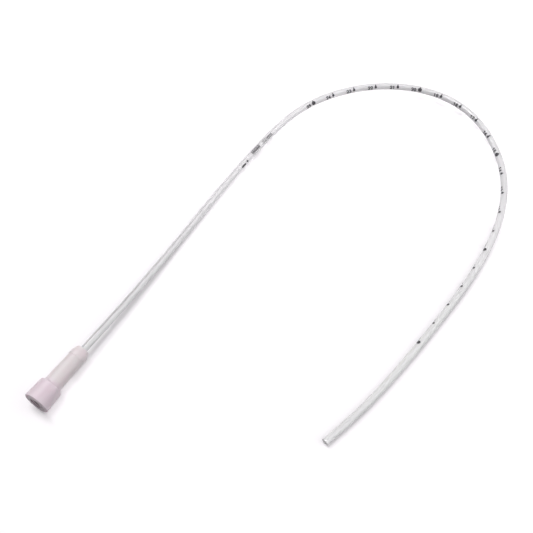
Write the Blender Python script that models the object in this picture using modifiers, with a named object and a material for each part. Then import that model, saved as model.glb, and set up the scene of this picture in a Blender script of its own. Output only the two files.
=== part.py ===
"""Umbilical catheter: a one-piece luer hub and the hollow tube bonded into it.

Metres, +Z up. The catheter lies on a table at z = 0. The hub lies along +Y with
its luer mouth facing -Y, and the tube leaves it towards +Y and bends round to +X.
The origin is on the table, under the middle of the hub.
"""

import math

import bmesh
import bpy
import numpy as np
from mathutils import Vector

MM = 0.001

# Hub, outside, from the collar at its mouth to the nose that the tube leaves by
HUB_LENGTH = 24.6 * MM
COLLAR_LENGTH = 8.0 * MM
COLLAR_MOUTH_DIAMETER = 9.6 * MM
COLLAR_BACK_DIAMETER = 8.9 * MM
BODY_BACK_DIAMETER = 6.8 * MM
BODY_FRONT_DIAMETER = 6.2 * MM
BEAD_DIAMETER = 6.5 * MM
BEAD_LENGTH = 1.8 * MM
NOSE_LENGTH = 2.3 * MM
NOSE_DIAMETER = 4.8 * MM

# Hub, the rounding of its edges
RIM_RADIUS = 0.45 * MM
COLLAR_BACK_RADIUS = 0.45 * MM
ROOT_RADIUS = 0.40 * MM
BEAD_STEP_RADIUS = 0.10 * MM
BEAD_FRONT_RADIUS = 1.00 * MM
NOSE_RADIUS = 0.35 * MM

# Hub, the two grip flats that slope into the back of the collar
GRIP_LENGTH = 4.8 * MM
GRIP_WIDTH_AT_BACK = 7.1 * MM

# Hub, inside
LUER_MOUTH_DIAMETER = 4.30 * MM
LUER_TAPER = 0.06
LUER_DEPTH = 8.5 * MM
LUER_LIP_RADIUS = 0.20 * MM
THROAT_LENGTH = 2.0 * MM
SOCKET_DEPTH = 9.0 * MM
SOCKET_LEAD_IN = 0.30 * MM

# Tube
TUBE_DIAMETER = 2.7 * MM
TUBE_BORE = 1.7 * MM
TUBE_END_RADIUS = 0.18 * MM

# How the tube sits in the hub's socket
BOND_CLEARANCE = 0.05 * MM
SEAT_GAP = 0.30 * MM

# How finely round forms are cut
HUB_SEGMENTS = 48
CORNER_STEPS = 3
RING_SPACING = 6.0 * MM

# The tube's route from the hub to the tip in mm: x, y, and how high its underside is
ROUTE = [
    (0.2, 28.6, 1.70),
    (0.2, 44.8, 0.97),
    (0.0, 61.0, 0.37),
    (-0.3, 76.8, 0.05),
    (-0.6, 92.8, 0.00),
    (-0.6, 108.8, 0.03),
    (-0.1, 124.6, 0.25),
    (1.3, 140.6, 0.70),
    (5.2, 156.2, 1.27),
    (13.0, 170.1, 1.75),
    (23.9, 181.5, 2.10),
    (37.5, 189.8, 2.20),
    (53.1, 193.4, 2.20),
    (68.3, 190.7, 2.05),
    (81.9, 182.1, 1.50),
    (92.4, 170.1, 0.80),
    (99.1, 155.8, 0.25),
    (102.4, 140.0, 0.03),
    (103.2, 123.9, 0.00),
    (102.5, 107.9, 0.00),
    (100.9, 92.0, 0.00),
    (98.9, 76.0, 0.00),
    (96.4, 60.2, 0.00),
    (93.1, 44.6, 0.00),
    (89.0, 30.2, 0.00),
]


def clear_scene():
    """Remove every object that the file opened with."""
    for thing in list(bpy.data.objects):
        bpy.data.objects.remove(thing, do_unlink=True)


def new_collection(name):
    """Make a collection in the scene and return it."""
    collection = bpy.data.collections.new(name)
    bpy.context.scene.collection.children.link(collection)
    return collection


def plastic(name, colour, roughness):
    """A plastic with the given linear colour and roughness."""
    material = bpy.data.materials.new(name)
    material.use_nodes = True
    shader = material.node_tree.nodes["Principled BSDF"]
    shader.inputs["Base Color"].default_value = (*colour, 1.0)
    shader.inputs["Roughness"].default_value = roughness
    shader.inputs["Metallic"].default_value = 0.0
    material.diffuse_color = (*colour, 1.0)
    return material


def arc_for_corner(before, corner, after, radius):
    """The points of a tangent arc that rounds one corner of a profile."""
    inward, outward = (before - corner), (after - corner)
    half = inward.angle(outward) / 2
    reach = min(radius / math.tan(half), inward.length * 0.45, outward.length * 0.45)
    start = corner + inward.normalized() * reach
    end = corner + outward.normalized() * reach
    centre_distance = reach / math.cos(half)
    centre = corner + (inward.normalized() + outward.normalized()).normalized() * centre_distance
    from_centre, to_centre = start - centre, end - centre
    points = []
    for step in range(CORNER_STEPS + 1):
        share = step / CORNER_STEPS
        direction = from_centre.lerp(to_centre, share).normalized()
        points.append(centre + direction * from_centre.length)
    return points


def rounded_profile(corners):
    """Turn (radius, height, rounding) corners of a closed outline into its points."""
    places = [Vector((radius, height)) for radius, height, _ in corners]
    points = []
    for index, (_, _, rounding) in enumerate(corners):
        before, corner = places[index - 1], places[index]
        after = places[(index + 1) % len(places)]
        if rounding > 0:
            points.extend(arc_for_corner(before, corner, after, rounding))
        else:
            points.append(corner)
    return points


def bead_front():
    """How far from the mouth the bead ends and the nose begins."""
    return HUB_LENGTH - NOSE_LENGTH


def hub_profile():
    """The hub's half section, down its outer side and back up its passage.

    Height runs from the mouth, at 0, to the end of the nose.
    """
    luer_radius = LUER_MOUTH_DIAMETER / 2
    luer_end_radius = luer_radius - LUER_TAPER * LUER_DEPTH / 2
    bore_radius = TUBE_BORE / 2
    socket_radius = TUBE_DIAMETER / 2 + BOND_CLEARANCE
    socket_floor = HUB_LENGTH - SOCKET_DEPTH
    bead_back = bead_front() - BEAD_LENGTH
    return rounded_profile(
        [
            (NOSE_DIAMETER / 2, HUB_LENGTH, NOSE_RADIUS),
            (BEAD_DIAMETER / 2, bead_front(), BEAD_FRONT_RADIUS),
            (BEAD_DIAMETER / 2, bead_back, BEAD_STEP_RADIUS),
            (BODY_FRONT_DIAMETER / 2, bead_back, BEAD_STEP_RADIUS),
            (BODY_BACK_DIAMETER / 2, COLLAR_LENGTH, ROOT_RADIUS),
            (COLLAR_BACK_DIAMETER / 2, COLLAR_LENGTH, COLLAR_BACK_RADIUS),
            (COLLAR_MOUTH_DIAMETER / 2, 0.0, RIM_RADIUS),
            (luer_radius, 0.0, LUER_LIP_RADIUS),
            (luer_end_radius, LUER_DEPTH, 0.0),
            (bore_radius, LUER_DEPTH + THROAT_LENGTH, 0.0),
            (bore_radius, socket_floor, 0.0),
            (socket_radius, socket_floor, 0.0),
            (socket_radius, HUB_LENGTH - SOCKET_LEAD_IN, 0.0),
            (socket_radius + SOCKET_LEAD_IN, HUB_LENGTH, 0.0),
        ]
    )


def turned(name, points, collection):
    """Turn a closed (radius, height) outline about Z into a solid."""
    mesh = bpy.data.meshes.new(name + "_profile")
    edges = [(index, (index + 1) % len(points)) for index in range(len(points))]
    mesh.from_pydata([(point.x, 0.0, point.y) for point in points], edges, [])
    blank = bpy.data.objects.new(name + "_profile", mesh)
    collection.objects.link(blank)

    screw = blank.modifiers.new("turn", "SCREW")
    screw.axis = "Z"
    screw.angle = math.tau
    screw.steps = screw.render_steps = HUB_SEGMENTS
    screw.use_merge_vertices = True
    screw.merge_threshold = 0.00001

    graph = bpy.context.evaluated_depsgraph_get()
    solid_mesh = bpy.data.meshes.new_from_object(blank.evaluated_get(graph))
    bpy.data.objects.remove(blank, do_unlink=True)
    solid_mesh.name = name
    solid_mesh.shade_smooth()
    solid_mesh.set_sharp_from_angle(angle=math.radians(35))
    solid = bpy.data.objects.new(name, solid_mesh)
    collection.objects.link(solid)
    return solid


def grip_cutter(side, collection):
    """A block whose inner face cuts one grip flat; side is -1 or 1 along X.

    The face leans in from the collar's full width to the grip's width at its back,
    and runs on past the fillet at the collar's root, clear of the body.
    """
    lean = math.atan2(COLLAR_MOUTH_DIAMETER - GRIP_WIDTH_AT_BACK, 2 * GRIP_LENGTH)
    size = Vector((COLLAR_MOUTH_DIAMETER, 2 * COLLAR_MOUTH_DIAMETER, 2 * HUB_LENGTH))
    shift = Vector((side * size.x / 2, 0.0, ROOT_RADIUS - size.z / 2))

    mesh = bpy.data.meshes.new("grip_cutter")
    block = bmesh.new()
    bmesh.ops.create_cube(block, size=1.0)
    bmesh.ops.scale(block, vec=size, verts=block.verts)
    bmesh.ops.translate(block, vec=shift, verts=block.verts)
    block.to_mesh(mesh)
    block.free()

    cutter = bpy.data.objects.new("grip_cutter", mesh)
    cutter.location = (side * GRIP_WIDTH_AT_BACK / 2, 0.0, COLLAR_LENGTH)
    cutter.rotation_euler = (0.0, -side * lean, 0.0)
    cutter.hide_render = True
    cutter.display_type = "WIRE"
    collection.objects.link(cutter)
    return cutter


def cut(solid, cutter):
    """Take a cutter's shape out of a solid."""
    boolean = solid.modifiers.new("cut", "BOOLEAN")
    boolean.operation = "DIFFERENCE"
    boolean.object = cutter


def hub_pitch():
    """How far the nose dips: the hub lies on its collar, which narrows to the back."""
    return math.atan2(COLLAR_MOUTH_DIAMETER - COLLAR_BACK_DIAMETER, 2 * COLLAR_LENGTH)


def hub_direction():
    """The way that the hub's axis points, from its mouth to its nose."""
    return Vector((0.0, math.cos(hub_pitch()), -math.sin(hub_pitch())))


def mouth_centre():
    """Where the middle of the mouth lies when the hub rests, centred over the origin."""
    cosine, sine = math.cos(hub_pitch()), math.sin(hub_pitch())
    mouth_face = COLLAR_MOUTH_DIAMETER / 2 - RIM_RADIUS
    nose_face = NOSE_DIAMETER / 2 - NOSE_RADIUS
    span = HUB_LENGTH * cosine - (mouth_face - nose_face) * sine
    height = COLLAR_MOUTH_DIAMETER / 2 * cosine
    return Vector((0.0, -span / 2, height))


def build_hub(parts, cutters):
    """The luer hub: a turned moulding with two grip flats cut into its collar.

    Its parent is an empty at the mouth whose Z runs along the hub.
    """
    axis = bpy.data.objects.new("hub_axis", None)
    axis.location = mouth_centre()
    axis.rotation_euler = (-(math.pi / 2 + hub_pitch()), 0.0, 0.0)
    parts.objects.link(axis)

    hub = turned("luer_hub", hub_profile(), parts)
    hub.parent = axis
    for side in (-1, 1):
        cutter = grip_cutter(side, cutters)
        cutter.parent = axis
        cut(hub, cutter)
    hub.data.materials.append(plastic("hub_plastic", (0.75, 0.66, 0.70), 0.38))
    return hub


def spline_slopes(points, lengths, start_slope):
    """The slopes at the points of a cubic curve whose bending changes smoothly.

    Each inner row makes the second derivatives of two neighbouring spans agree. The
    start keeps the given slope, and the far end is free.
    """
    count = len(points)
    rows = np.zeros((count, count))
    sides = np.zeros((count, 3))
    rows[0, 0] = 1.0
    sides[0] = start_slope
    for index in range(1, count - 1):
        back, ahead = lengths[index - 1], lengths[index]
        rows[index, index - 1 : index + 2] = (1 / back, 2 / back + 2 / ahead, 1 / ahead)
        sides[index] = 3 * (points[index] - points[index - 1]) / back**2
        sides[index] += 3 * (points[index + 1] - points[index]) / ahead**2
    rows[-1, -2:] = (1.0, 2.0)
    sides[-1] = 3 * (points[-1] - points[-2]) / lengths[-1]
    return np.linalg.solve(rows, sides)


def smooth_curve(points, start_slope, samples_per_span):
    """Points close together on the smooth curve through the given ones."""
    lengths = np.linalg.norm(np.diff(points, axis=0), axis=1)
    slopes = spline_slopes(points, lengths, start_slope)
    t = np.linspace(0.0, 1.0, samples_per_span, endpoint=False)[:, None]
    spans = []
    for index, length in enumerate(lengths):
        spans.append(
            (2 * t**3 - 3 * t**2 + 1) * points[index]
            + (t**3 - 2 * t**2 + t) * length * slopes[index]
            + (3 * t**2 - 2 * t**3) * points[index + 1]
            + (t**3 - t**2) * length * slopes[index + 1]
        )
    return np.vstack([*spans, points[-1:]])


def evenly_spaced(curve, spacing):
    """Points along a curve at equal distances as near as they fit to the spacing."""
    steps = np.linalg.norm(np.diff(curve, axis=0), axis=1)
    travelled = np.concatenate([[0.0], np.cumsum(steps)])
    count = round(travelled[-1] / spacing) + 1
    stations = np.linspace(0.0, travelled[-1], count)
    return np.column_stack([np.interp(stations, travelled, curve[:, axis]) for axis in range(3)])


def tube_centreline():
    """The tube's centreline from the floor of the hub's socket to the tip."""
    direction = np.array(hub_direction())
    mouth = np.array(mouth_centre())
    seat = mouth + direction * (HUB_LENGTH - SOCKET_DEPTH + SEAT_GAP)
    nose = mouth + direction * HUB_LENGTH
    route = [(x * MM, y * MM, rise * MM + TUBE_DIAMETER / 2) for x, y, rise in ROUTE]
    free_run = smooth_curve(np.array([nose, *route]), direction, 24)
    centreline = np.vstack([seat, evenly_spaced(free_run, RING_SPACING)])
    centreline[:, 2] = np.maximum(centreline[:, 2], TUBE_DIAMETER / 2)
    return centreline


def build_tube(parts):
    """The tube: a swept wall, open from the socket to the tip, with softened ends."""
    centreline = tube_centreline()
    curve = bpy.data.curves.new("catheter_tube", "CURVE")
    curve.dimensions = "3D"
    curve.bevel_depth = TUBE_DIAMETER / 2
    curve.bevel_resolution = 2
    spline = curve.splines.new("POLY")
    spline.points.add(len(centreline) - 1)
    for point, place in zip(spline.points, centreline):
        point.co = (*place, 1.0)

    tube = bpy.data.objects.new("catheter_tube", curve)
    parts.objects.link(tube)
    wall = tube.modifiers.new("wall", "SOLIDIFY")
    wall.thickness = (TUBE_DIAMETER - TUBE_BORE) / 2
    wall.offset = -1.0
    wall.use_even_offset = True
    ends = tube.modifiers.new("ends", "BEVEL")
    ends.width = TUBE_END_RADIUS
    ends.segments = 2
    ends.limit_method = "ANGLE"
    ends.angle_limit = math.radians(60)
    curve.materials.append(plastic("tube_plastic", (0.80, 0.80, 0.82), 0.25))
    return tube


def main():
    """Build the catheter's two pieces in a collection of their own."""
    clear_scene()
    parts = new_collection("umbilical_catheter")
    cutters = new_collection("cutters")
    build_hub(parts, cutters)
    build_tube(parts)


main()
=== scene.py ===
"""The looks of an umbilical catheter: a moulded luer hub and its marked tube.

Metres, +Z up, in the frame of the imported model. The catheter lies on a table at
z = 0. The hub lies along +Y with its luer mouth facing -Y, and the tube leaves it
towards +Y and bends round to +X.
"""

import logging
import math
from dataclasses import dataclass
from enum import Enum
from typing import ClassVar

import bpy
import numpy as np
from mathutils import Euler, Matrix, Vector


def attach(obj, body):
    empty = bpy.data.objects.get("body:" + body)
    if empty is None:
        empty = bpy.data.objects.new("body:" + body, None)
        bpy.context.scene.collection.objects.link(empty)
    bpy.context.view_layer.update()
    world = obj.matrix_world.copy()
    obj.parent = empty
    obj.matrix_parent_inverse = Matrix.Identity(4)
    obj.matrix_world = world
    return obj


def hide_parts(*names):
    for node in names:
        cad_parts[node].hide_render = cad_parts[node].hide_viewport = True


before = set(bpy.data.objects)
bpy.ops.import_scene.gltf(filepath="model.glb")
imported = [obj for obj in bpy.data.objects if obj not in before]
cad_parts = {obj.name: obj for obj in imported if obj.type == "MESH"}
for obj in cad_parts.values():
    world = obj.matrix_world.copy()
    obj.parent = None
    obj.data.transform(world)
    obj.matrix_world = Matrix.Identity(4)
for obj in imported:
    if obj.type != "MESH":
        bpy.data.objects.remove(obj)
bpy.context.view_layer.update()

LOG = logging.getLogger("catheter")

MM = 0.001
CM = 0.01
ROOT = "root"
HUB_NODE = "luer_hub"
TUBE_NODE = "catheter_tube"

Array = np.ndarray
Piece = bpy.types.Object
Socket = bpy.types.NodeSocket
# Two numbers are a point or the ends of a range, three a place, a way or a linear colour
Pair = tuple[float, float]
Triple = tuple[float, float, float]
# Stops are pairs of a place and the value there
Stops = tuple[Pair, ...]
# A slab of ink is its points and its faces
Slab = tuple[Array, Array]
# What feeds a node's inputs, by name or number, is other nodes' outputs or plain values
Source = Socket | float | tuple[float, ...]
Sources = dict[str | int, Source]

# The most of its shorter side that a rounded corner takes
CORNER_SHARE = 0.45
# A length that is only a rounding error
HAIR = 1e-6
# A numeral's width for each unit of its height, and how many points its curves have
NUMERAL_WIDTH = 0.6
CURVE_POINTS = 13

# The tube's route from the hub to the tip in mm: x, y, and how high its underside is
ROUTE = [
    (0.2, 28.6, 1.70), (0.2, 44.8, 0.97), (0.0, 61.0, 0.37), (-0.3, 76.8, 0.05),
    (-0.6, 92.8, 0.00), (-0.6, 108.8, 0.03), (-0.1, 124.6, 0.25), (1.3, 140.6, 0.70),
    (5.2, 156.2, 1.27), (13.0, 170.1, 1.75), (23.9, 181.5, 2.10), (37.5, 189.8, 2.20),
    (53.1, 193.4, 2.20), (68.3, 190.7, 2.05), (81.9, 182.1, 1.50), (92.4, 170.1, 0.80),
    (99.1, 155.8, 0.25), (102.4, 140.0, 0.03), (103.2, 123.9, 0.00), (102.5, 107.9, 0.00),
    (100.9, 92.0, 0.00), (98.9, 76.0, 0.00), (96.4, 60.2, 0.00), (93.1, 44.6, 0.00),
    (89.0, 30.2, 0.00),
]


class Slot(Enum):
    """The record's material slots."""

    HUB = "hub_plastic"
    TUBE = "tube_plastic"


def unit(vectors: Array) -> Array:
    """The same directions at length one."""
    return vectors / np.linalg.norm(vectors, axis=-1, keepdims=True)


def follow(places: Array | float, stops: Stops) -> Array | float:
    """The value at each place, on straight lines between the stops."""
    return np.interp(places, *np.transpose(stops))


def travelled(path: Array) -> Array:
    """How far along a path each of its points is."""
    steps = np.linalg.norm(np.diff(path, axis=0), axis=1)
    return np.concatenate([[0.0], np.cumsum(steps)])


def look_up(distances: Array, stations: Array, rows: Array) -> Array:
    """The row at each distance, on straight lines between the rows at the stations."""
    return np.stack([np.interp(distances, stations, column) for column in rows.T], axis=-1)


def grid_quads(rings: int, columns: int, closed: bool) -> Array:
    """The four-cornered faces of a grid of points that is numbered ring by ring.

    Face (i, j) joins points (i, j), (i, j + 1), (i + 1, j + 1) and (i + 1, j), and the
    last point of a ring is followed by its first.

    Args:
        rings: How many rings of points there are.
        columns: How many points there are in a ring.
        closed: Whether the last ring joins the first.

    Returns:
        An array of faces by four point numbers.
    """
    i, j = np.meshgrid(np.arange(rings if closed else rings - 1), np.arange(columns), indexing="ij")
    next_i, next_j = (i + 1) % rings, (j + 1) % columns
    corners = [i * columns + j, i * columns + next_j, next_i * columns + next_j, next_i * columns + j]
    return np.stack(corners, axis=-1).reshape(-1, 4)


def outward(points: Array, faces: Array) -> Array:
    """Turn a closed mesh's faces round if they point inwards.

    The volume is a sixth of the sum over the faces' triangles of the first corner
    dotted with the cross product of the other two, and it is negative inside out.

    Args:
        points: The mesh's points.
        faces: Its four-cornered faces.

    Returns:
        The faces, pointing outwards.
    """
    a, b, c, d = (points[faces[:, k]] for k in range(4))
    volume = np.einsum("ij,ij->", a, np.cross(b, c)) + np.einsum("ij,ij->", a, np.cross(c, d))
    return faces if volume > 0 else faces[:, ::-1]


def rounded(corners: list[Triple], arc_points: int, longest_step: float) -> Array:
    """Round the corners of a closed outline and fill its straight stretches.

    Each corner becomes the arc that touches both its sides: the arc's centre lies on
    the corner's bisector, and its points turn from one side's contact to the other's.

    Args:
        corners: Each corner's two coordinates and its rounding.
        arc_points: How many points each arc has.
        longest_step: The longest step along a straight stretch.

    Returns:
        Points by the two coordinates.
    """
    places = np.array([corner[:2] for corner in corners])
    arcs = []
    for index, (_, _, rounding) in enumerate(corners):
        corner = places[index]
        back, ahead = places[index - 1] - corner, places[(index + 1) % len(places)] - corner
        most = CORNER_SHARE * min(np.linalg.norm(back), np.linalg.norm(ahead))
        back, ahead = unit(back), unit(ahead)
        half = math.acos(np.clip(back @ ahead, -1.0, 1.0)) / 2
        reach = min(rounding / math.tan(half), most)
        centre = corner + unit(back + ahead) * reach / math.cos(half)
        share = np.linspace(0.0, 1.0, arc_points)[:, None]
        contact, departure = corner + back * reach - centre, corner + ahead * reach - centre
        turn = unit(contact * (1 - share) + departure * share)
        arcs.append(centre + turn * np.linalg.norm(contact))
    ring = np.vstack(arcs)
    after = np.roll(ring, -1, axis=0)
    counts = np.ceil(np.linalg.norm(after - ring, axis=1) / longest_step).astype(int)
    stretches = [
        start + (end - start) * (np.arange(count) / count)[:, None]
        for start, end, count in zip(ring, after, np.maximum(1, counts))
    ]
    return np.vstack(stretches)


def make_piece(name: str, points: Array, faces: Array, crease_deg: float) -> Piece:
    """Put a closed mesh in the scene as a smooth piece that rides on the one body.

    Args:
        name: The piece's name.
        points: Points by three coordinates.
        faces: Faces by four point numbers.
        crease_deg: Edges that turn by more than this stay sharp.

    Returns:
        The new object, at the origin.
    """
    mesh = bpy.data.meshes.new(name)
    mesh.from_pydata(points.tolist(), [], outward(points, faces).tolist())
    mesh.shade_smooth()
    mesh.set_sharp_from_angle(angle=math.radians(crease_deg))
    piece = bpy.data.objects.new(name, mesh)
    bpy.context.scene.collection.objects.link(piece)
    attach(piece, ROOT)
    return piece


def store(piece: Piece, name: str, values: Array, each: int = 1) -> None:
    """Keep a number, or three, for each point of a piece, for its material to read.

    Args:
        piece: The piece.
        name: The name that the material reads them by.
        values: The numbers, or rows of three.
        each: How many points on end share each of them.
    """
    single = values.ndim == 1
    attribute = piece.data.attributes.new(name, "FLOAT" if single else "FLOAT_VECTOR", "POINT")
    spread = np.repeat(values, each, axis=0).astype(np.float32).ravel()
    attribute.data.foreach_set("value" if single else "vector", spread)


class Tree:
    """A node tree, with short ways to add and join its nodes."""

    def __init__(self, tree: bpy.types.NodeTree) -> None:
        """Work on the tree of a material or a world."""
        self.tree = tree

    def feed(self, node: bpy.types.Node, sources: Sources) -> None:
        """Join outputs to a node's inputs, or set them to plain values.

        Args:
            node: The node.
            sources: The output or the value for each input.
        """
        for name, source in sources.items():
            if isinstance(source, Socket):
                self.tree.links.new(source, node.inputs[name])
            else:
                node.inputs[name].default_value = source

    def add(self, kind: str, output: str, sources: Sources | None = None, **settings: object) -> Socket:
        """Add a node and feed it.

        Args:
            kind: The kind of node, such as TexNoise.
            output: Which of its outputs is wanted.
            sources: What feeds its inputs.
            settings: The node's settings by name.

        Returns:
            That output.
        """
        node = self.tree.nodes.new("ShaderNode" + kind)
        for key, value in settings.items():
            setattr(node, key, value)
        self.feed(node, sources or {})
        return node.outputs[output]

    def span(self, source: Socket, ends: tuple[Source, Source], limits: Pair = (0.0, 1.0)) -> Socket:
        """Carry a value between two limits evenly from one end to the other.

        Args:
            source: The value.
            ends: What it becomes at the lower limit and at the upper one.
            limits: The two limits, beyond which it stays at its ends.

        Returns:
            The new value.
        """
        names = ("From Min", "From Max", "To Min", "To Max")
        return self.add("MapRange", "Result", {"Value": source, **dict(zip(names, (*limits, *ends)))})

    def seen_ray(self) -> Socket:
        """Tell the rays that see apart from those that light.

        Returns:
            One for camera, glossy and transmission rays, and nought for the others.
        """
        seen = self.add("LightPath", "Is Camera Ray")
        for name in ("Is Glossy Ray", "Is Transmission Ray"):
            both = {0: seen, 1: self.add("LightPath", name)}
            seen = self.add("Math", "Value", both, operation="MAXIMUM")
        return seen


@dataclass(frozen=True)
class Noise:
    """Noise by its cells for each metre, its finer layers and its coordinates' scale.

    It lies on the object's coordinates, or on those stored by the name that is given.
    """

    scale: float
    detail: float
    stretch: Triple = (1.0, 1.0, 1.0)
    laid: str = ""


@dataclass(frozen=True)
class Skin:
    """How a plastic takes light: its gloss, its grain, and how light wanders in it."""

    roughness: Pair
    grain: Noise
    grain_strength: float
    grain_height: float
    wander_share: float
    wander_colours: Triple
    wander_reach: float
    refraction: float = 1.49


class Surface(Tree):
    """A material's tree, round one Principled shader."""

    def __init__(self, name: str) -> None:
        """Start a material.

        Args:
            name: Its name.
        """
        self.material = bpy.data.materials.new(name)
        self.material.use_nodes = True
        super().__init__(self.material.node_tree)
        self.shader = self.tree.nodes["Principled BSDF"]
        self.output = self.tree.nodes["Material Output"]

    def noise(self, kind: Noise) -> Socket:
        """Add noise.

        Args:
            kind: Its numbers.

        Returns:
            Its value, from 0 to 1.
        """
        if kind.laid:
            place = self.add("Attribute", "Vector", attribute_name=kind.laid)
        else:
            place = self.add("TexCoord", "Object")
        place = self.add("Mapping", "Vector", {"Vector": place, "Scale": kind.stretch})
        return self.add("TexNoise", "Fac", {"Vector": place, "Scale": kind.scale, "Detail": kind.detail})

    def attribute(self, name: str) -> Socket:
        """Read a number that was stored on the piece's points."""
        return self.add("Attribute", "Fac", attribute_name=name)

    def ramp(self, source: Socket, places: tuple[float, ...], colours: tuple[Triple, ...]) -> Socket:
        """Turn a value into a colour.

        Args:
            source: The value.
            places: Values from 0 to 1, in order.
            colours: The colour at each of them.

        Returns:
            The colour.
        """
        colour = self.add("ValToRGB", "Color", {"Fac": source})
        elements = colour.node.color_ramp.elements
        while len(elements) < len(places):
            elements.new(0.5)
        for element, place, shade in zip(elements, places, colours):
            element.position = place
            element.color = (*shade, 1.0)
        return colour

    def mix(self, share: Socket, first: Socket, second: Source) -> Socket:
        """Blend two colours, with a share of the second."""
        return self.add("MixRGB", "Color", {"Fac": share, "Color1": first, "Color2": second})

    def wear(self, skin: Skin, colour: Socket) -> None:
        """Give the shader a plastic's colour, gloss, grain and depth.

        Args:
            skin: The plastic's numbers.
            colour: Its colour.
        """
        grain = self.noise(skin.grain)
        bump = {"Height": grain, "Strength": skin.grain_strength, "Distance": skin.grain_height}
        inputs = {
            "Base Color": colour,
            "Roughness": self.span(grain, skin.roughness),
            "Normal": self.add("Bump", "Normal", bump),
            "IOR": skin.refraction,
            "Subsurface Weight": skin.wander_share,
            "Subsurface Radius": skin.wander_colours,
            "Subsurface Scale": skin.wander_reach,
        }
        self.feed(self.shader, inputs)

    def pass_light(self, share: Socket) -> None:
        """Let a share of the lamps' light through each surface, as clear plastic does.

        Args:
            share: The share, which may differ from place to place.
        """
        shadow = self.add("LightPath", "Is Shadow Ray")
        amount = self.add("Math", "Value", {0: shadow, 1: share}, operation="MULTIPLY")
        both = {"Fac": amount, 1: self.shader.outputs["BSDF"], 2: self.add("BsdfTransparent", "BSDF")}
        self.feed(self.output, {"Surface": self.add("MixShader", "Shader", both)})


@dataclass(frozen=True)
class HubPlastic:
    """Frosted moulded plastic, milky with a little pink in it, pinker at the collar.

    It passes the first share of the lamps' light outside, and the second in its bore.
    Its bore and the mouth's face get a dark colour that is painted shade.
    """

    body: tuple[Triple, Triple] = ((0.690, 0.638, 0.650), (0.715, 0.632, 0.660))
    collar: tuple[Triple, Triple] = ((0.690, 0.590, 0.648), (0.705, 0.605, 0.660))
    # Painted shade: the dark colour mixed into the bore and the mouth's face, which lie in shade
    deep: Triple = (0.14, 0.08, 0.11)
    flow: Noise = Noise(210.0, 2.0, (1.0, 0.5, 1.0))
    flow_between: Pair = (0.38, 0.62)
    skin: Skin = Skin(
        roughness=(0.35, 0.45),
        grain=Noise(1400.0, 2.0),
        grain_strength=0.08,
        grain_height=0.02 * MM,
        wander_share=0.9,
        wander_colours=(1.0, 0.85, 0.9),
        wander_reach=2.4 * MM,
    )
    passes: Pair = (0.96, 0.0)

    def material(self) -> bpy.types.Material:
        """Mix tints by flow marks and by place, with a fine grain in gloss and bump.

        The bore and the mouth's face are darkened with painted shade.

        Returns:
            The material.
        """
        surface = Surface("hub_frosted_plastic")
        flow = surface.noise(self.flow)
        body = surface.ramp(flow, self.flow_between, self.body)
        collar = surface.ramp(flow, self.flow_between, self.collar)
        outside = surface.mix(surface.attribute("collar"), body, collar)
        # Painted shade: darken the bore and the mouth's face towards the dark colour
        deep = surface.attribute("deep")
        surface.wear(self.skin, surface.mix(deep, outside, (*self.deep, 1.0)))
        surface.pass_light(surface.span(deep, self.passes))
        return surface.material


@dataclass(frozen=True)
class TubePlastic:
    """Soft tubing, clear beside the hub and milkier towards the tip.

    Its shades are stops of a share of the way from hub to tip and how light it is. It
    passes the first share of the lamps' light where it lies, the second where raised. A band of
    painted shade runs along its outer side, standing in for the dark edge of the clear wall.
    """

    shades: Stops = (
        (0.03, 0.89), (0.12, 0.86), (0.22, 0.83), (0.40, 0.78), (0.55, 0.74),
        (0.68, 0.74), (0.76, 0.85), (0.84, 0.95), (0.93, 0.94), (0.985, 0.89),
    )
    tint: Triple = (1.0, 0.985, 1.005)
    # Painted shade: the dark band along the outer side, strongest where the tube is clear
    line_colour: Triple = (0.36, 0.35, 0.37)
    milky_between: Pair = (0.05, 0.75)
    transmission: Pair = (0.25, 0.15)
    skin: Skin = Skin(
        roughness=(0.10, 0.14),
        grain=Noise(1500.0, 1.0, (0.02, 1.0, 1.0), "laid_straight"),
        grain_strength=0.05,
        grain_height=0.01 * MM,
        wander_share=1.0,
        wander_colours=(1.0, 1.0, 1.0),
        wander_reach=1.2 * MM,
    )
    passes: Pair = (0.20, 0.97)

    def material(self) -> bpy.types.Material:
        """Follow the stored distance from hub to tip, and draw faint extrusion lines.

        A band of painted shade darkens the outer side.

        Returns:
            The material.
        """
        surface = Surface("tube_soft_plastic")
        along = surface.attribute("along")
        places, shades = zip(*self.shades)
        tinted = tuple(tuple(shade * part for part in self.tint) for shade in shades)
        wall = surface.ramp(along, places, tinted)
        # Painted shade: darken the outer side by the stored band
        colour = surface.mix(surface.attribute("painted_edge_shade"), wall, (*self.line_colour, 1.0))
        surface.wear(self.skin, colour)
        milkiness = surface.span(along, self.transmission, self.milky_between)
        surface.feed(surface.shader, {"Transmission Weight": milkiness})
        surface.pass_light(surface.span(surface.attribute("raised"), self.passes))
        return surface.material


@dataclass(frozen=True)
class MarkInk:
    """Matt dark ink, a little uneven."""

    thin: Triple = (0.055, 0.050, 0.060)
    full: Triple = (0.020, 0.018, 0.024)
    cover_between: Pair = (0.40, 0.60)
    cover: Noise = Noise(2600.0, 2.0)
    roughness: Pair = (0.47, 0.63)

    def material(self) -> bpy.types.Material:
        """Mix full and thin ink by a fine noise.

        Returns:
            The material.
        """
        surface = Surface("mark_ink")
        cover = surface.noise(self.cover)
        colour = surface.ramp(cover, self.cover_between, (self.thin, self.full))
        roughness = surface.span(cover, self.roughness)
        surface.feed(surface.shader, {"Base Color": colour, "Roughness": roughness})
        return surface.material


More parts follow.
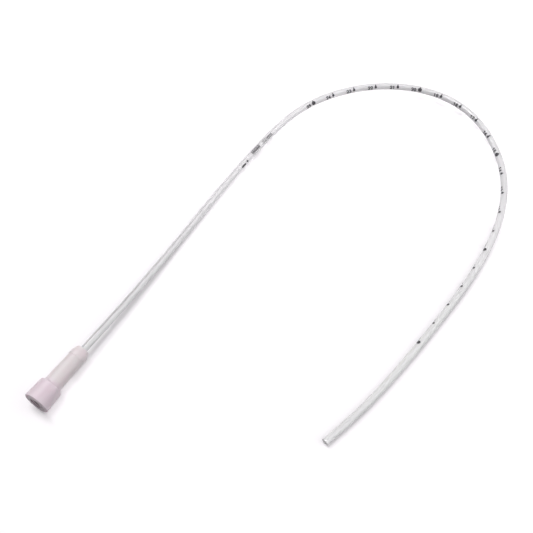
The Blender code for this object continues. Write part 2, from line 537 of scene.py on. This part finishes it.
@dataclass(frozen=True)
class FloorPaper:
    """Pale paper that looks white and throws back less light than it shows.

    Further out it glows towards white, which keeps its far parts pale in low views.
    """

    bounce: float = 0.48
    seen: Triple = (0.96, 0.935, 0.96)
    glow: Pair = (0.075, 1.0)
    glow_between: Pair = (0.25, 1.2)

    def material(self) -> bpy.types.Material:
        """Add a glow for the rays that see to a matt colour of its own for them.

        Returns:
            The material.
        """
        surface = Surface("floor_paper")
        seen = surface.seen_ray()
        colour = surface.ramp(seen, (0.0, 1.0), ((self.bounce,) * 3, self.seen))
        place = surface.add("TexCoord", "Object")
        away = surface.add("VectorMath", "Value", {0: place}, operation="LENGTH")
        strength = surface.span(away, self.glow, self.glow_between)
        both = {
            0: surface.add("BsdfDiffuse", "BSDF", {"Color": colour}),
            1: surface.add("Emission", "Emission", {"Color": seen, "Strength": strength}),
        }
        surface.feed(surface.output, {"Surface": surface.add("AddShader", "Shader", both)})
        return surface.material


@dataclass
class LuerHub:
    """The one-piece moulded hub, turned about its axis, with two grip flats."""

    length: float = 24.6 * MM
    collar_length: float = 8.0 * MM
    collar_mouth_diameter: float = 9.6 * MM
    collar_back_diameter: float = 8.9 * MM
    body_back_diameter: float = 6.8 * MM
    body_front_diameter: float = 6.2 * MM
    bead_diameter: float = 6.5 * MM
    bead_length: float = 1.8 * MM
    nose_length: float = 2.3 * MM
    nose_diameter: float = 4.8 * MM
    rim_radius: float = 0.45 * MM
    nose_radius: float = 0.35 * MM
    grip_length: float = 4.8 * MM
    grip_width_at_back: float = 7.1 * MM
    grip_edge: float = 0.035 * MM
    grip_edge_reach: float = 6.0
    least_cosine: float = 0.05
    nose_shoulder_radius: float = 1.0 * MM
    bead_step_radius: float = 0.10 * MM
    collar_foot_radius: float = 0.40 * MM
    collar_back_radius: float = 0.45 * MM
    mouth_edge_radius: float = 0.20 * MM
    bore_edge_radius: float = 0.05 * MM
    socket_edge_radius: float = 0.03 * MM
    luer_mouth_diameter: float = 4.30 * MM
    luer_taper: float = 0.06
    luer_depth: float = 8.5 * MM
    throat_length: float = 2.0 * MM
    socket_depth: float = 9.0 * MM
    socket_lead_in: float = 0.30 * MM
    bond_clearance: float = 0.05 * MM
    tube_diameter: float = 2.7 * MM
    tube_bore: float = 1.7 * MM
    around: int = 224
    longest_step: float = 0.16 * MM
    arc_points: int = 9
    crease_deg: float = 40.0
    # Painted shade in the bore and on the mouth's face, lighter towards the face's outer edge
    bore_tint_start: float = 0.30 * MM
    face_tint_reach: float = 0.25 * MM
    face_tint: Pair = (0.80, 0.35)
    collar_tint_fade: float = 2.0 * MM
    finish: HubPlastic = HubPlastic()

    @property
    def pitch(self) -> float:
        """How far the nose dips, because the hub lies on its tapering collar."""
        return math.atan2(self.collar_mouth_diameter - self.collar_back_diameter, 2 * self.collar_length)

    @property
    def direction(self) -> Array:
        """The way that the axis points, from the mouth to the nose."""
        return np.array([0.0, math.cos(self.pitch), -math.sin(self.pitch)])

    @property
    def mouth(self) -> Array:
        """The middle of the mouth's face, which puts the hub's middle over the origin.

        Returns:
            Its place.
        """
        mouth_face = self.collar_mouth_diameter / 2 - self.rim_radius
        nose_face = self.nose_diameter / 2 - self.nose_radius
        span = self.length * math.cos(self.pitch) - (mouth_face - nose_face) * math.sin(self.pitch)
        return np.array([0.0, -span / 2, self.collar_mouth_diameter / 2 * math.cos(self.pitch)])

    @property
    def nose(self) -> Array:
        """The middle of the nose's face, where the tube leaves the hub."""
        return self.mouth + self.direction * self.length

    def corners(self) -> list[Triple]:
        """The corners of the half section, from the nose back over the outside and in.

        Returns:
            Each corner's radius, distance from the mouth, and rounding.
        """
        bead_front = self.length - self.nose_length
        bead_back = bead_front - self.bead_length
        luer_end = self.luer_mouth_diameter / 2 - self.luer_taper * self.luer_depth / 2
        socket = self.tube_diameter / 2 + self.bond_clearance
        socket_floor = self.length - self.socket_depth
        return [
            (self.nose_diameter / 2, self.length, self.nose_radius),
            (self.bead_diameter / 2, bead_front, self.nose_shoulder_radius),
            (self.bead_diameter / 2, bead_back, self.bead_step_radius),
            (self.body_front_diameter / 2, bead_back, self.bead_step_radius),
            (self.body_back_diameter / 2, self.collar_length, self.collar_foot_radius),
            (self.collar_back_diameter / 2, self.collar_length, self.collar_back_radius),
            (self.collar_mouth_diameter / 2, 0.0, self.rim_radius),
            (self.luer_mouth_diameter / 2, 0.0, self.mouth_edge_radius),
            (luer_end, self.luer_depth, self.bore_edge_radius),
            (self.tube_bore / 2, self.luer_depth + self.throat_length, self.bore_edge_radius),
            (self.tube_bore / 2, socket_floor, self.socket_edge_radius),
            (socket, socket_floor, self.socket_edge_radius),
            (socket, self.length - self.socket_lead_in, self.socket_edge_radius),
            (socket + self.socket_lead_in, self.length, self.socket_edge_radius),
        ]

    def build(self) -> Piece:
        """Turn the section about the axis and press the two flats into the collar.

        A point at angle a and radius r lies at the mouth plus the axis times its
        distance, plus r cos a to the side and r sin a up. A flat leans in towards the
        collar's back, at half-width w = back half-width + lean times the distance to
        the back, so a radius there is at most w / |cos a|. The smaller of the two is
        taken with a soft minimum, which leaves a narrow rounded edge.

        Returns:
            The hub, in place of its node.
        """
        section = rounded(self.corners(), self.arc_points, self.longest_step)
        angles = np.linspace(0.0, math.tau, self.around, endpoint=False)
        radius, distance = section[:, :1], section[:, 1:]

        lean = (self.collar_mouth_diameter - self.grip_width_at_back) / (2 * self.grip_length)
        half_width = self.grip_width_at_back / 2 + lean * (self.collar_length - distance)
        limit = half_width / np.maximum(np.abs(np.cos(angles)), self.least_cosine)
        edge = self.grip_edge
        soft = -edge * np.logaddexp(-radius / edge, -limit / edge)
        on_collar = (distance <= self.collar_length + HAIR) & (radius > self.body_back_diameter / 2)
        radius = np.where(on_collar & (limit < radius + self.grip_edge_reach * edge), soft, radius)

        side = np.array([1.0, 0.0, 0.0])
        radial = np.outer(np.cos(angles), side) + np.outer(np.sin(angles), np.cross(side, self.direction))
        points = self.mouth + distance[..., None] * self.direction + radius[..., None] * radial
        faces = grid_quads(len(section), self.around, True)
        piece = make_piece("hub_moulding", points.reshape(-1, 3), faces, self.crease_deg)
        self.store_tints(piece, section)
        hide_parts(HUB_NODE)
        return piece

    def store_tints(self, piece: Piece, section: Array) -> None:
        """Keep for the finish where the bore and the mouth's face get painted shade, and where the collar
        is.

        Args:
            piece: The hub.
            section: The half section that it was turned from.
        """
        radius, distance = section.T
        widest_bore = self.luer_mouth_diameter / 2 - self.luer_taper * self.bore_tint_start
        face = np.interp(radius, (widest_bore, self.collar_mouth_diameter / 2), self.face_tint)
        face = np.where(distance < self.face_tint_reach, face, 0.0)
        # Painted shade: full in the bore, fading outwards over the mouth's face
        store(piece, "deep", np.where(radius < widest_bore, 1.0, face), self.around)
        fade = (self.collar_length, self.collar_length + self.collar_tint_fade)
        store(piece, "collar", np.interp(distance, fade, (1.0, 0.0)), self.around)

    def dress(self, piece: Piece) -> None:
        """Give the hub its frosted plastic."""
        piece.data.materials.append(self.finish.material())


@dataclass(frozen=True)
class TubeLine:
    """The tube's centreline, sampled at equal distances, with its up and side ways."""

    distances: Array
    places: Array
    ups: Array
    sides: Array
    free_length: float
    route_samples: ClassVar[int] = 60

    @classmethod
    def through(cls, hub: LuerHub, seat_gap: float, radius: float, spacing: float) -> "TubeLine":
        """Lay the line from the socket's floor out of the nose and along the route.

        Between two route points the line is a cubic whose ends share the slopes m that
        make its bending continuous: each inner m solves m[i-1]/h[i-1] + 2 m[i] (1/h[i-1]
        + 1/h[i]) + m[i+1]/h[i] = 3 (d[i-1]/h[i-1]^2 + d[i]/h[i]^2), with d the steps and
        h their lengths. The first m is the hub's direction and the last end is free.

        Args:
            hub: The hub that the tube leaves.
            seat_gap: How far the tube stops from the socket's floor.
            radius: The tube's outer radius, which its centre never goes below.
            spacing: The distance between samples.

        Returns:
            The line, with distance 0 at the nose.
        """
        route = [(x * MM, y * MM, rise * MM + radius) for x, y, rise in ROUTE]
        points = np.array([hub.nose, *route])
        steps = np.diff(points, axis=0)
        h = np.linalg.norm(steps, axis=1)
        count = len(points)
        inner = np.arange(1, count - 1)
        matrix = np.zeros((count, count))
        right = np.zeros((count, 3))
        matrix[0, 0], right[0] = 1.0, hub.direction
        matrix[inner, inner - 1] = 1 / h[:-1]
        matrix[inner, inner] = 2 / h[:-1] + 2 / h[1:]
        matrix[inner, inner + 1] = 1 / h[1:]
        right[1:-1] = 3 * (steps[:-1] / h[:-1, None] ** 2 + steps[1:] / h[1:, None] ** 2)
        matrix[-1, -2:] = (1.0, 2.0)
        right[-1] = 3 * steps[-1] / h[-1]
        m = np.linalg.solve(matrix, right)

        t = np.linspace(0.0, 1.0, cls.route_samples, endpoint=False)[None, :, None]
        curve = (
            (2 * t**3 - 3 * t**2 + 1) * points[:-1, None]
            + (t**3 - 2 * t**2 + t) * (h[:, None] * m[:-1])[:, None]
            + (3 * t**2 - 2 * t**3) * points[1:, None]
            + (t**3 - t**2) * (h[:, None] * m[1:])[:, None]
        ).reshape(-1, 3)
        in_socket = hub.socket_depth - seat_gap
        seat = hub.nose - hub.direction * in_socket
        curve = np.vstack([seat, curve, points[-1:]])
        curve[:, 2] = np.maximum(curve[:, 2], radius)

        way = travelled(curve)
        stations = np.linspace(0.0, way[-1], round(way[-1] / spacing) + 1)
        places = look_up(stations, way, curve)
        tangents = unit(np.gradient(places, axis=0))
        ups = unit(np.array([0.0, 0.0, 1.0]) - tangents[:, 2:] * tangents)
        sides = np.cross(tangents, ups)
        return cls(stations - in_socket, places, ups, sides, way[-1] - in_socket)

    def at(self, distance: Array, angle: Array, radius: Array) -> Array:
        """Points round the line: its place + radius (cos angle up + sin angle side).

        Args:
            distance: How far from the nose.
            angle: How far round from straight up towards the inside of the bend.
            radius: How far from the line. All three broadcast together.

        Returns:
            An array with one more axis of three coordinates.
        """
        distance, angle, radius = np.broadcast_arrays(distance, angle, radius)
        rows = (self.places, self.ups, self.sides)
        place, up, side = (look_up(distance, self.distances, each) for each in rows)
        radial = np.cos(angle)[..., None] * up + np.sin(angle)[..., None] * side
        return place + radius[..., None] * radial


@dataclass
class CatheterTube:
    """The hollow tube, open at its tip, with softened ends.

    The stops of how raised it looks, and of how strong the painted shade on its outer side
    is, are at millimetres from the nose.
    """

    hub: LuerHub
    end_radius: float = 0.22 * MM
    seat_gap: float = 0.30 * MM
    spacing: float = 0.8 * MM
    raised: Stops = (
        (-1.0, 1.0), (2.0, 0.0), (25.0, 0.0), (75.0, 0.5), (105.0, 0.8), (150.0, 1.0),
        (275.0, 1.0), (300.0, 0.5), (325.0, 0.0), (395.0, 0.0), (399.0, 0.35),
    )
    # Painted shade along the outer side: its strength by distance, its angle and its width
    line_strength: Stops = (
        (0.0, 0.90), (20.0, 0.85), (50.0, 0.60), (100.0, 0.40), (220.0, 0.15), (300.0, 0.0),
    )
    line_angle: float = math.radians(-12.0)
    line_width: float = math.radians(13.0)
    around: int = 48
    arc_points: int = 6
    crease_deg: float = 50.0
    path_every: int = 4
    finish: TubePlastic = TubePlastic()

    def __post_init__(self) -> None:
        """Take the sizes that the hub is made for, and lay the centreline."""
        self.diameter, self.bore = self.hub.tube_diameter, self.hub.tube_bore
        self.line = TubeLine.through(self.hub, self.seat_gap, self.diameter / 2, self.spacing)

    def corners(self) -> list[Triple]:
        """The corners of the wall's outline, with the tip after the socket's end.

        Returns:
            Each corner's radius, distance from the nose, and rounding.
        """
        first, last = self.line.distances[[0, -1]]
        outer, inner = self.diameter / 2, self.bore / 2
        places = ((outer, first), (outer, last), (inner, last), (inner, first))
        return [(*place, self.end_radius) for place in places]

    def build(self) -> Piece:
        """Carry the wall's outline round the line: every point of it at every angle.

        Returns:
            The tube, in place of its node.
        """
        outline = rounded(self.corners(), self.arc_points, self.spacing)
        angles = np.linspace(0.0, math.tau, self.around, endpoint=False)
        points = self.line.at(outline[:, 1:], angles, outline[:, :1])
        faces = grid_quads(len(outline), self.around, True)
        piece = make_piece("tube_wall", points.reshape(-1, 3), faces, self.crease_deg)
        self.store_places(piece, outline, angles)
        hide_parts(TUBE_NODE)
        return piece

    def store_places(self, piece: Piece, outline: Array, angles: Array) -> None:
        """Keep for the finish how far along and how far round each point is.

        The painted shade on the outer side is a bell round its angle. Laid straight, a point
        has its distance as X, and its radius times the cosine and the sine of its angle as Y and Z.

        Args:
            piece: The tube.
            outline: The wall's outline by radius and distance.
            angles: The angles that it was carried to.
        """
        radius, distance = outline.T
        store(piece, "along", np.clip(distance / self.line.free_length, 0.0, 1.0), self.around)
        store(piece, "raised", follow(distance / MM, self.raised), self.around)
        turn = (angles - self.line_angle + math.pi) % math.tau - math.pi
        bell = np.exp(-((turn / self.line_width) ** 2))
        # Painted shade: a dark band round the outer side, fading towards the tip
        store(piece, "painted_edge_shade", np.outer(follow(distance / MM, self.line_strength), bell).ravel())
        flat = np.repeat(distance, self.around)
        wide, high = np.outer(radius, np.cos(angles)).ravel(), np.outer(radius, np.sin(angles)).ravel()
        store(piece, "laid_straight", np.column_stack([flat, wide, high]))

    def dress(self, piece: Piece) -> None:
        """Give the tube its soft plastic."""
        piece.data.materials.append(self.finish.material())


def arc(x: float, y: float, wide: float, high: float, start: float, end: float) -> Array:
    """Part of an ellipse round (x, y), of those half sizes, between two angles in degrees."""
    turn = np.radians(np.linspace(start, end, CURVE_POINTS))
    return np.column_stack([x + wide * np.cos(turn), y + high * np.sin(turn)])


def polyline(*points: Pair) -> Array:
    """Straight strokes through a few points."""
    return np.array(points)


def numeral_strokes() -> dict[str, list[Array]]:
    """The ten numerals in a box that is 1 high.

    Returns:
        The pen strokes of each.
    """
    w = NUMERAL_WIDTH
    middle = w / 2
    foot = polyline((0.0, 0.0), (w, 0.0))
    flag = polyline((0.55, 1.0), (0.1, 1.0), (0.06, 0.56))
    return {
        "0": [arc(middle, 0.5, 0.3, 0.5, 0, 360)],
        "1": [polyline((0.12, 0.78), (0.34, 1.0), (0.34, 0.0))],
        "2": [np.vstack([arc(middle, 0.7, 0.3, 0.3, 170, -35), foot])],
        "3": [arc(0.27, 0.75, 0.28, 0.25, 150, -90), arc(0.27, 0.26, 0.33, 0.26, 90, -150)],
        "4": [polyline((0.44, 0.0), (0.44, 1.0), (0.0, 0.3), (w, 0.3))],
        "5": [np.vstack([flag, arc(0.27, 0.32, 0.33, 0.32, 120, -150)])],
        "6": [arc(middle, 0.3, 0.3, 0.3, 0, 360), arc(0.55, 0.3, 0.55, 0.7, 95, 180)],
        "7": [polyline((0.0, 1.0), (w, 1.0), (0.2, 0.0))],
        "8": [arc(middle, 0.75, 0.26, 0.25, 0, 360), arc(middle, 0.26, 0.3, 0.26, 0, 360)],
        "9": [arc(middle, 0.7, 0.3, 0.3, 0, 360), arc(0.05, 0.7, 0.55, 0.7, -85, 0)],
    }


@dataclass(frozen=True)
class MarkShape:
    """One kind of depth mark: a round dot with a tail, and the gap to its number.

    The tail tapers round the tube towards the outside of the bend.
    """

    dot: float
    tail_root: float
    tail_tip: float
    tail: float
    turned_out: float
    number_gap: float


class Weight(Enum):
    """How boldly a depth mark is printed."""

    PLAIN = MarkShape(1.15 * MM, 0.75 * MM, 0.42 * MM, 1.05 * MM, -2.0, 1.45 * MM)
    BOLD = MarkShape(1.80 * MM, 0.85 * MM, 0.45 * MM, 1.15 * MM, 2.0, 1.80 * MM)


@dataclass(frozen=True)
class Hatch:
    """A block of plain bars across the tube, in place of small print."""

    start: float
    end: float
    angle: float
    height: float
    pen: float
    pitch: float = 0.50 * MM


@dataclass
class DepthScale:
    """The ink on the tube: a mark and a number for each centimetre, and plain blocks.

    The stops are at centimetres from the tip. They give how far round from straight
    up the marks are, how much further round the numbers are, both in degrees, and how
    full the marks are. The dash and the dot have a start, an end and an angle.
    """

    tube: CatheterTube
    first_cm: int = 5
    last_cm: int = 25
    bold_every_cm: int = 5
    tip_allowance: float = 0.90 * MM
    turn: Stops = ((5.0, 38.0), (12.0, 42.0), (18.0, 50.0), (25.0, 52.0))
    drift: Stops = ((10.5, 62.0), (14.5, 12.0))
    fullness: Stops = ((11.0, 0.0), (16.0, 1.0))
    least_size: float = 0.84
    least_tail: float = 0.02
    numeral_height: float = 1.25 * MM
    numeral_pitch: float = 1.18 * MM
    numeral_pen: float = 0.38 * MM
    hatches: tuple[Hatch, ...] = (
        Hatch(109.2 * MM, 114.3 * MM, 17.0, 1.60 * MM, 0.27 * MM),
        Hatch(116.6 * MM, 119.6 * MM, 25.0, 1.50 * MM, 0.13 * MM),
        Hatch(119.8 * MM, 122.7 * MM, 34.0, 1.30 * MM, 0.27 * MM),
    )
    dash: Triple = (100.8 * MM, 103.5 * MM, 60.0)
    dot: Triple = (104.432 * MM, 105.368 * MM, 50.0)
    small_pen: float = 0.78 * MM
    ink_rise: float = 0.02 * MM
    ink_sink: float = 0.03 * MM
    fineness: float = 0.07 * MM
    across: int = 5
    end_steps: int = 5
    end_stop: float = 0.12
    mark_steps: int = 25
    crease_deg: float = 50.0
    finish: MarkInk = MarkInk()

    @property
    def radius(self) -> float:
        """The tube's outer radius, on which the ink lies."""
        return self.tube.diameter / 2

    def round_wall(self, degrees: float) -> float:
        """How far round the wall an angle is, from straight up towards the inside."""
        return math.radians(degrees) * self.radius

    def stroke(self, path: Array, width: Array | float) -> Slab:
        """Lay one pen stroke with round ends on the tube's wall.

        The path is sampled evenly. Each end is a half circle as wide as the stroke is
        there: at angle a from its foot it is sin a half-widths further out and cos a
        half-widths to each side. Across the stroke points run from one side to the
        other along the path's normal, once above the wall and back again below it.

        Args:
            path: Points by distance from the nose and distance round the wall.
            width: The stroke's full width, the same all along or one at each of them.

        Returns:
            The points and the faces of one closed slab.
        """
        way = travelled(path)
        body = np.linspace(0.0, way[-1], max(2, round(way[-1] / self.fineness)))
        spots = look_up(body, way, path)
        half = np.interp(body, way, np.broadcast_to(width, len(path))) / 2
        ways = unit(np.gradient(spots, axis=0))

        turn = np.linspace(0.0, math.pi / 2 - self.end_stop, self.end_steps + 1)[1:]
        out, narrow = np.sin(turn)[:, None], np.cos(turn)
        first = spots[0] - ways[0] * half[0] * out[::-1]
        last = spots[-1] + ways[-1] * half[-1] * out
        spots = np.vstack([first, spots, last])
        half = np.concatenate([half[0] * narrow[::-1], half, half[-1] * narrow])
        ways = np.vstack([np.tile(ways[0], (len(turn), 1)), ways, np.tile(ways[-1], (len(turn), 1))])
        normals = np.column_stack([-ways[:, 1], ways[:, 0]])

        share = np.linspace(-1.0, 1.0, self.across)
        share = np.concatenate([share, share[::-1]])
        lift = np.repeat([self.ink_rise, -self.ink_sink], self.across)
        flat = spots[:, None] + normals[:, None] * (half[:, None] * share)[..., None]
        points = self.tube.line.at(flat[..., 0], flat[..., 1] / self.radius, self.radius + lift)

        rings, columns = len(spots), 2 * self.across
        sides = grid_quads(rings, columns, False)
        k = np.arange(self.across - 1)
        cap = np.column_stack([k, columns - 1 - k, columns - 2 - k, k + 1])
        far_cap = cap[:, ::-1] + (rings - 1) * columns
        return points.reshape(-1, 3), np.vstack([sides, cap, far_cap])

    def mark(self, distance: float, degrees: float, shape: MarkShape, fullness: float) -> Slab:
        """Lay a dot and its tail as one stroke that starts at the dot's middle.

        At t from the middle it is as wide as the wider of the dot's chord, twice the
        root of r squared less t squared, and the tail, which tapers evenly.

        Args:
            distance: How far from the nose the mark lies.
            degrees: How far round from straight up the dot's middle is.
            shape: The mark's sizes.
            fullness: One for a full mark, and nought for the smallest, near the tip.

        Returns:
            The points and faces of its slab.
        """
        size = self.least_size + (1 - self.least_size) * fullness
        tail = shape.tail * (self.least_tail + (1 - self.least_tail) * fullness)
        t = np.linspace(0.0, tail, self.mark_steps)
        chord = 2 * np.sqrt(np.maximum((shape.dot * size / 2) ** 2 - t**2, 0.0))
        taper = (shape.tail_root + (shape.tail_tip - shape.tail_root) * t / t[-1]) * size
        around = self.round_wall(degrees - shape.turned_out) - t
        return self.stroke(np.column_stack([np.full_like(t, distance), around]), np.maximum(chord, taper))

    def number(self, text: str, end: float, degrees: float) -> list[Slab]:
        """Write a number along the tube, upright towards the outside of the bend.

        Args:
            text: The digits.
            end: The distance from the nose at which the number ends.
            degrees: How far round from straight up its middle is.

        Returns:
            The strokes of all its digits.
        """
        strokes = []
        shapes = numeral_strokes()
        high = self.numeral_height
        for place, digit in enumerate(text):
            start = end - NUMERAL_WIDTH * high - self.numeral_pitch * (len(text) - 1 - place)
            for shape in shapes[digit]:
                along = start + shape[:, 0] * high
                around = self.round_wall(degrees) + (0.5 - shape[:, 1]) * high
                strokes.append(self.stroke(np.column_stack([along, around]), self.numeral_pen))
        return strokes

    def blocks(self) -> list[Slab]:
        """Lay the hatched blocks, the dot and the dash on the hub's side of the scale.

        Returns:
            The strokes of them all.
        """
        slabs = []
        for hatch in self.hatches:
            middle, reach = self.round_wall(hatch.angle), (hatch.height - hatch.pen) / 2
            count = round((hatch.end - hatch.start - hatch.pen) / hatch.pitch) + 1
            for place in np.linspace(hatch.start + hatch.pen / 2, hatch.end - hatch.pen / 2, count):
                bar = polyline((place, middle - reach), (place, middle + reach))
                slabs.append(self.stroke(bar, hatch.pen))
        inset = self.small_pen / 2
        for start, end, degrees in (self.dash, self.dot):
            around = self.round_wall(degrees)
            short = polyline((start + inset, around), (end - inset, around))
            slabs.append(self.stroke(short, self.small_pen))
        return slabs

    def join(self, name: str, slabs: list[Slab]) -> Piece:
        """Make one piece of many slabs, each numbered on from the last.

        Args:
            name: The piece's name.
            slabs: The slabs.

        Returns:
            The piece.
        """
        starts = np.cumsum([0] + [len(points) for points, _ in slabs[:-1]])
        points = np.vstack([points for points, _ in slabs])
        faces = np.vstack([faces + start for (_, faces), start in zip(slabs, starts)])
        return make_piece(name, points, faces, self.crease_deg)

    def build(self) -> list[Piece]:
        """Print the marks, the numbers and the blocks.

        Returns:
            The printed pieces.
        """
        marks, numbers = [], []
        for centimetre in range(self.first_cm, self.last_cm + 1):
            distance = self.tube.line.free_length - centimetre * CM - self.tip_allowance
            shape = (Weight.PLAIN if centimetre % self.bold_every_cm else Weight.BOLD).value
            degrees = follow(centimetre, self.turn)
            marks.append(self.mark(distance, degrees, shape, follow(centimetre, self.fullness)))
            degrees += follow(centimetre, self.drift)
            numbers.extend(self.number(str(centimetre), distance - shape.number_gap, degrees))
        prints = {"depth_marks": marks, "depth_numbers": numbers, "print_blocks": self.blocks()}
        return [self.join(name, slabs) for name, slabs in prints.items()]

    def dress(self, pieces: list[Piece]) -> None:
        """Give the print its ink."""
        material = self.finish.material()
        for piece in pieces:
            piece.data.materials.append(material)


@dataclass(frozen=True)
class Lamp:
    """A square lamp: the way to it, how far off it is, its side and its power."""

    name: str
    toward: Triple
    distance: float
    side: float
    watts: float


def place_facing(data: bpy.types.ID, aim: Triple, way: Vector, distance: float) -> Piece:
    """Put a camera or a lamp in the scene so that it faces a place.

    Args:
        data: The camera or the lamp.
        aim: The place.
        way: The way from there to it.
        distance: How far off it is.

    Returns:
        Its object.
    """
    holder = bpy.data.objects.new(data.name, data)
    holder.location = Vector(aim) + way * distance
    holder.rotation_mode = "QUATERNION"
    holder.rotation_quaternion = (-way).to_track_quat("-Z", "Y")
    bpy.context.scene.collection.objects.link(holder)
    return holder


@dataclass
class Studio:
    """The camera, the pale floor and the soft light."""

    aim: Triple = (34.635 * MM, 78.827 * MM, 0.0)
    azimuth: float = math.radians(32.678)
    elevation: float = math.radians(58.0)
    camera_distance: float = 291.0 * MM
    lens_mm: float = 51.0
    sensor_mm: float = 36.0
    floor_side: float = 6.0
    middle: Triple = (50.0 * MM, 90.0 * MM, 0.0)
    lamps: tuple[Lamp, ...] = (
        Lamp("key", (-0.500, 0.105, 0.700), 1.2, 0.30, 3.8),
        Lamp("fill", (0.740, 0.120, 0.600), 1.2, 1.20, 6.8),
        Lamp("overhead", (-0.26, 0.09, 1.0), 1.1, 0.38, 4.4),
    )
    front: Triple = (0.54, -0.842, 0.0)
    front_between: Pair = (0.1, 0.7)
    glow: Pair = (0.30, 0.14)
    height_between: Pair = (0.0, 0.7)
    seen: Pair = (0.75, 1.0)
    clip: Pair = (0.005, 50.0)
    paper: FloorPaper = FloorPaper()

    def camera(self) -> None:
        """Place the camera at its distance from the aim, back along azimuth and elevation."""
        data = bpy.data.cameras.new("camera")
        data.lens = self.lens_mm
        data.sensor_width = self.sensor_mm
        data.clip_start, data.clip_end = self.clip
        turn = Euler((math.pi / 2 - self.elevation, 0.0, self.azimuth))
        back = turn.to_matrix() @ Vector((0.0, 0.0, 1.0))
        bpy.context.scene.camera = place_facing(data, self.aim, back, self.camera_distance)

    def floor(self) -> None:
        """Lay a wide pale sheet at the height that the catheter lies at."""
        half = self.floor_side / 2
        corners = [(-half, -half, 0.0), (half, -half, 0.0), (half, half, 0.0), (-half, half, 0.0)]
        mesh = bpy.data.meshes.new("floor")
        mesh.from_pydata(corners, [], [(0, 1, 2, 3)])
        floor = bpy.data.objects.new("floor", mesh)
        bpy.context.scene.collection.objects.link(floor)
        floor.data.materials.append(self.paper.material())

    def hang(self, lamp: Lamp) -> None:
        """Hang a lamp so that it faces the middle of the catheter.

        Args:
            lamp: The lamp.
        """
        data = bpy.data.lights.new(lamp.name, "AREA")
        data.shape = "SQUARE"
        data.size = lamp.side
        data.energy = lamp.watts
        place_facing(data, self.middle, Vector(lamp.toward).normalized(), lamp.distance)

    def surround(self) -> bpy.types.World:
        """A pale world whose light on diffuse surfaces is weak on the viewer's side.

        The amount of front is the dot product of the ray's way with the level way to
        the viewer. Seen in gloss or through the tube the world shades from its high
        value overhead to its low one at the horizon, and the camera sees plain white.

        Returns:
            The world.
        """
        world = bpy.data.worlds.new("surround")
        world.use_nodes = True
        tree = Tree(world.node_tree)
        way = tree.add("TexCoord", "Generated")
        facing = tree.add("VectorMath", "Value", {0: way, 1: self.front}, operation="DOT_PRODUCT")
        height = tree.add("SeparateXYZ", "Z", {0: way})
        lit = tree.span(facing, self.glow, self.front_between)
        seen = tree.span(height, self.seen, self.height_between)
        strength = tree.span(tree.seen_ray(), (lit, seen))
        strength = tree.span(tree.add("LightPath", "Is Camera Ray"), (strength, 1.0))
        background = world.node_tree.nodes["Background"]
        tree.feed(background, {"Color": (1.0, 1.0, 1.0, 1.0), "Strength": strength})
        return world

    def build(self) -> None:
        """Set up the whole stage, with the camera, the floor, the lamps and the world."""
        self.camera()
        self.floor()
        for lamp in self.lamps:
            self.hang(lamp)
        bpy.context.scene.world = self.surround()
        bpy.context.scene.view_settings.view_transform = "Standard"


def main() -> None:
    """Build the stage and the catheter."""
    logging.basicConfig(level=logging.INFO, format="%(name)s: %(message)s")
    Studio().build()

    hub = LuerHub()
    tube = CatheterTube(hub)
    tube_piece = tube.build()
    tube.dress(tube_piece)

    scale = DepthScale(tube)
    printed = scale.build()
    scale.dress(printed)

    hub_piece = hub.build()
    hub.dress(hub_piece)

    for piece in (hub_piece, tube_piece, *printed):
        LOG.info("%s: %d faces", piece.name, len(piece.data.polygons))
    LOG.info("free length %.1f mm", tube.line.free_length / MM)
    bpy.context.view_layer.update()


if __name__ == "__main__":
    main()
